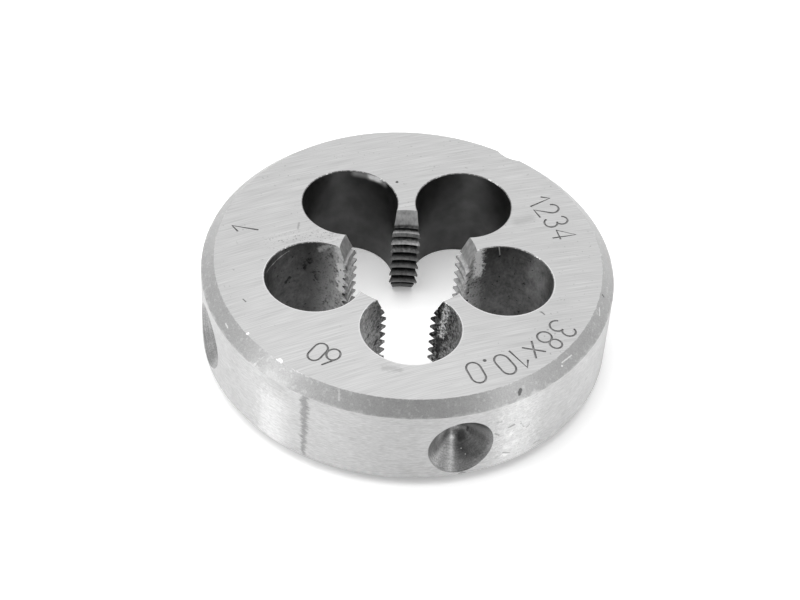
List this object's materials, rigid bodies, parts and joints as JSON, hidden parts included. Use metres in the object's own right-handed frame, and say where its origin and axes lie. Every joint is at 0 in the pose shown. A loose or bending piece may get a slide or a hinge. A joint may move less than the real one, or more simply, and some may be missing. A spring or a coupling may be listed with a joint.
{
  "type": "round threading die",
  "caption": "Round die that cuts a 12 x 1 mm right-hand external thread, with lead-in throats, chip holes, screw seats and an adjusting groove in its rim.",
  "frame": {"origin": "centre of the back face, on the thread's axis", "axes": "+Z along the thread's axis to the marked face; -Y through the middle of the first chip hole; +X completes the right-handed frame"},
  "size_m": [0.038, 0.038, 0.01],
  "materials": {
    "tool_steel": "ground faces and rim, dark hardened chip holes"
  },
  "bodies": {
    "root": {"die_body": "tool_steel"}
  },
  "joints": []
}
